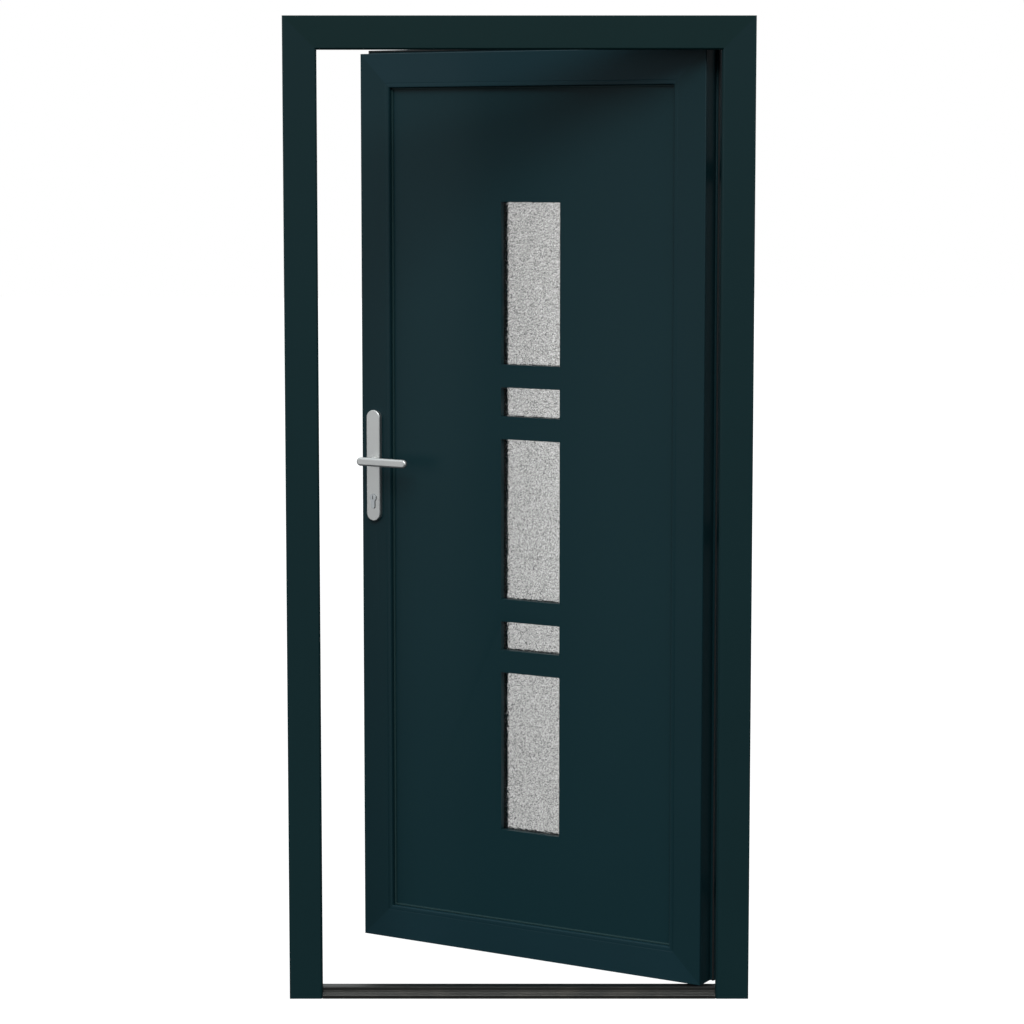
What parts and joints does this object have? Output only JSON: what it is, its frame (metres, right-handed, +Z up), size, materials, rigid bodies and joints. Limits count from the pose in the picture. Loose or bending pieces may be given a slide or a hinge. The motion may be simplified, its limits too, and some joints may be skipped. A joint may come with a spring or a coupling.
{
  "type": "panelled front door",
  "caption": "Hinged front door in its frame: hollow-profile leaf with a flat panel and a column of glazed slots, lever handles, key-wound bolts and an aluminium threshold.",
  "frame": {"origin": "middle of the threshold's underside, halfway through the frame's depth", "axes": "+X to the right seen from outside, +Y from outside to inside, +Z up"},
  "size_m": [0.98, 0.566, 2.08],
  "materials": {
    "foiled_profile": "foiled, fine grain",
    "panel_skin": "foiled, fine grain",
    "galvanised_steel": "galvanised",
    "seal_rubber": "matte",
    "sill_aluminium": "anodised, ribbed",
    "black_plastic": "moulded",
    "textured_glass": "rolled, granular",
    "spacer_aluminium": "black anodised",
    "hinge_enamel": "powder coated",
    "lock_steel": "zinc plated",
    "satin_handle": "satin anodised"
  },
  "bodies": {
    "frame": {"frame_head": "foiled_profile", "frame_lock_jamb": "foiled_profile", "frame_hinge_jamb": "foiled_profile", "frame_reinforcement": "galvanised_steel", "frame_gasket": "seal_rubber", "threshold_outer": "sill_aluminium", "threshold_inner": "sill_aluminium", "threshold_break": "black_plastic", "jamb_feet": "black_plastic", "frame_hinge_1": "hinge_enamel", "hinge_pin_1": "hinge_enamel", "frame_hinge_2": "hinge_enamel", "hinge_pin_2": "hinge_enamel", "frame_hinge_3": "hinge_enamel", "hinge_pin_3": "hinge_enamel", "frame_screws": "lock_steel", "centre_keep": "lock_steel", "upper_keep": "lock_steel", "lower_keep": "lock_steel"},
    "leaf": {"leaf_lock_stile": "foiled_profile", "leaf_hinge_stile": "foiled_profile", "leaf_top_rail": "foiled_profile", "leaf_bottom_rail": "foiled_profile", "bead_lock_side": "foiled_profile", "bead_hinge_side": "foiled_profile", "bead_top": "foiled_profile", "bead_bottom": "foiled_profile", "infill_panel": "panel_skin", "glass_retainers": "panel_skin", "leaf_reinforcement": "galvanised_steel", "leaf_gasket": "seal_rubber", "glass_unit_1": "textured_glass", "glass_unit_2": "textured_glass", "glass_unit_3": "textured_glass", "glass_unit_4": "textured_glass", "glass_unit_5": "textured_glass", "glass_spacers": "spacer_aluminium", "leaf_hinge_1": "hinge_enamel", "leaf_hinge_2": "hinge_enamel", "leaf_hinge_3": "hinge_enamel", "leaf_screws": "lock_steel", "handle_screws": "lock_steel", "lock_faceplate": "lock_steel", "lock_case": "lock_steel", "upper_lock_case": "lock_steel", "lower_lock_case": "lock_steel", "cylinder_body": "lock_steel", "outer_handle_plate": "satin_handle", "inner_handle_plate": "satin_handle"},
    "handle": {"outer_lever": "satin_handle", "inner_lever": "satin_handle", "spindle": "lock_steel", "follower": "lock_steel"},
    "latch": {"latch_bolt": "lock_steel"},
    "key_plug": {"cylinder_plug": "lock_steel"},
    "bolts": {"dead_bolt": "lock_steel", "upper_bolt": "lock_steel", "lower_bolt": "lock_steel"},
    "drive_rods": {"upper_drive_rod": "lock_steel", "lower_drive_rod": "lock_steel"}
  },
  "joints": [
    {"name": "leaf_swing", "type": "hinge", "parent": "frame", "child": "leaf", "pos_m": [0.438, 0.069, 1], "axis": [0, 0, -1], "range_deg": [-30, 60]},
    {"name": "lever_turn", "type": "hinge", "parent": "leaf", "child": "handle", "pos_m": [-0.30892, 0.4373, 1.112], "axis": [0.5, 0.866, 0], "range_deg": [0, 40], "stiffness_Nm_per_rad": 2, "springref_deg": -17.19},
    {"name": "latch_slide", "type": "slide", "parent": "leaf", "child": "latch", "axis": [0.866, -0.5, 0], "range_m": [0, 0.012]},
    {"name": "bolt_slide", "type": "slide", "parent": "leaf", "child": "bolts", "axis": [-0.866, 0.5, 0], "range_m": [0, 0.02]},
    {"name": "key_turn", "type": "hinge", "parent": "leaf", "child": "key_plug", "pos_m": [-0.30892, 0.4373, 1.027], "axis": [0.5, 0.866, 0], "range_deg": [0, 360]},
    {"name": "rod_slide", "type": "slide", "parent": "leaf", "child": "drive_rods", "axis": [0, 0, 1], "range_m": [0, 0.012]}
  ],
  "couplings": [
    {"joint": "latch_slide", "follows": "lever_turn", "m_per_rad": 0.017},
    {"joint": "key_turn", "follows": "bolt_slide", "rad_per_m": 314.16},
    {"joint": "rod_slide", "follows": "bolt_slide", "ratio": 0.6}
  ]
}
